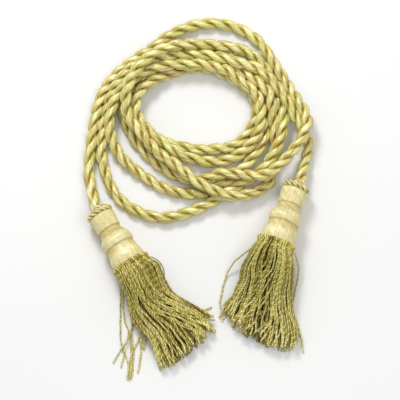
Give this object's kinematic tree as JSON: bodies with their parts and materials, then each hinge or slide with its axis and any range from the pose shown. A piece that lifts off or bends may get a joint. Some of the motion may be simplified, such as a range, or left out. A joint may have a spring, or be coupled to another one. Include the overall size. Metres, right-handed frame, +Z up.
{
  "type": "cincture cord",
  "caption": "Long two-ply twisted rope in a loose hand coil, with a turned yarn-wrapped head and a thread tassel at each end.",
  "frame": {"origin": "middle of the two tassels' own box, on the surface that the cord lies on", "axes": "+Z up from the surface, +Y from the tassels towards the coil, +X from the left tassel to the right one as seen from above"},
  "size_m": [0.2047, 0.3253, 0.0322],
  "materials": {
    "gold_rope": "two-ply twisted rope of glossy gold floss",
    "gold_gimp": "twisted gold-brown gimp",
    "cream_yarn": "satin cream-gold yarn laid along the axis",
    "olive_thread": "two-ply olive-gold thread"
  },
  "bodies": {
    "root": {"cord": "gold_rope", "collar_left": "gold_gimp", "head_left": "cream_yarn", "skirt_left": "olive_thread", "collar_right": "gold_gimp", "head_right": "cream_yarn", "skirt_right": "olive_thread"}
  },
  "joints": []
}
